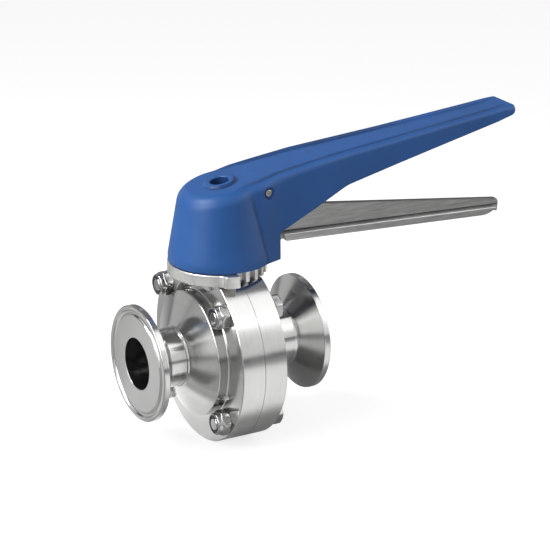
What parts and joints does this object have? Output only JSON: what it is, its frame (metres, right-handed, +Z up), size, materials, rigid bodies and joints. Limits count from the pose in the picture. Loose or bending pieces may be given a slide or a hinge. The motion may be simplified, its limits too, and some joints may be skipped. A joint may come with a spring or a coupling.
{
  "type": "sanitary butterfly valve",
  "caption": "Clamp-ended sanitary butterfly valve with a bolted split body, a notched index plate and a blue squeeze-latch lever handle.",
  "frame": {"origin": "centre of the bore at the inlet ferrule's face, the end on the side of the nuts", "axes": "+X along the pipe from the inlet ferrule to the outlet ferrule and along the handle in the open position, +Z up the stem towards the handle, +Y to the side away from the notched quadrant"},
  "size_m": [0.186, 0.079, 0.1291],
  "materials": {
    "turned_stainless": "turned and polished",
    "disc_stainless": "polished",
    "cast_stainless": "satin, tumbled casting",
    "fastener_stainless": "bright, cold formed",
    "brushed_sheet": "brushed along its length",
    "spring_steel": "drawn wire",
    "dark_nylon": "dark dyed nylon",
    "bush_plastic": "off-white plain bearing plastic",
    "seat_rubber": "smooth black rubber",
    "blue_plastic": "moulded, slightly satin"
  },
  "bodies": {
    "valve_body": {"inlet_body": "turned_stainless", "outlet_body": "turned_stainless", "inlet_ferrule": "turned_stainless", "outlet_ferrule": "turned_stainless", "seat_ring": "seat_rubber", "upper_bush": "bush_plastic", "lower_bush": "bush_plastic", "stem_o_ring": "seat_rubber", "index_plate": "cast_stainless", "body_bolts": "fastener_stainless", "body_nuts": "fastener_stainless", "nylon_rings": "dark_nylon"},
    "handle": {"handle_housing": "blue_plastic", "stem_socket": "cast_stainless", "screw_washer": "fastener_stainless", "handle_screw": "fastener_stainless", "drive_stem": "disc_stainless", "disc": "disc_stainless", "pivot_pin": "fastener_stainless", "trigger_spring": "spring_steel"},
    "trigger": {"trigger_plate": "brushed_sheet", "grip_rail": "brushed_sheet"}
  },
  "joints": [
    {"name": "handle_turn", "type": "hinge", "parent": "valve_body", "child": "handle", "pos_m": [0.0404, 0, 0], "axis": [0, 0, 1], "range_deg": [-90, 0]},
    {"name": "trigger_squeeze", "type": "hinge", "parent": "handle", "child": "trigger", "pos_m": [0.0557, 0, 0.0713], "axis": [0, -1, 0], "range_deg": [-4, 14], "stiffness_Nm_per_rad": 1.5, "springref_deg": 1.17, "deforming": ["trigger_spring"]}
  ]
}
